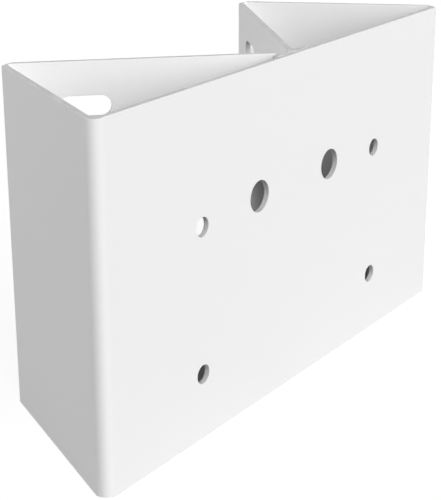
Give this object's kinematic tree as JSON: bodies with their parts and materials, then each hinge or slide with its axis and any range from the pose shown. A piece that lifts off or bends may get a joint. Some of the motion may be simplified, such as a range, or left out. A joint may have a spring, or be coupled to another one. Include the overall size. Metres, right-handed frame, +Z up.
{
  "type": "corner wall bracket",
  "caption": "Folded sheet-metal bracket that carries a camera arm on the outer corner of a building, with screw holes, cable holes and slotted wall plates.",
  "frame": {"origin": "middle of the lower edge of the front plate's outer face", "axes": "+X along the front plate, to the right seen from the front; +Y from the front plate towards the building; +Z up along the folds"},
  "size_m": [0.2094, 0.0696, 0.12],
  "materials": {
    "powder_coat": "satin white powder coat on steel sheet"
  },
  "bodies": {
    "root": {"bracket": "powder_coat"}
  },
  "joints": []
}
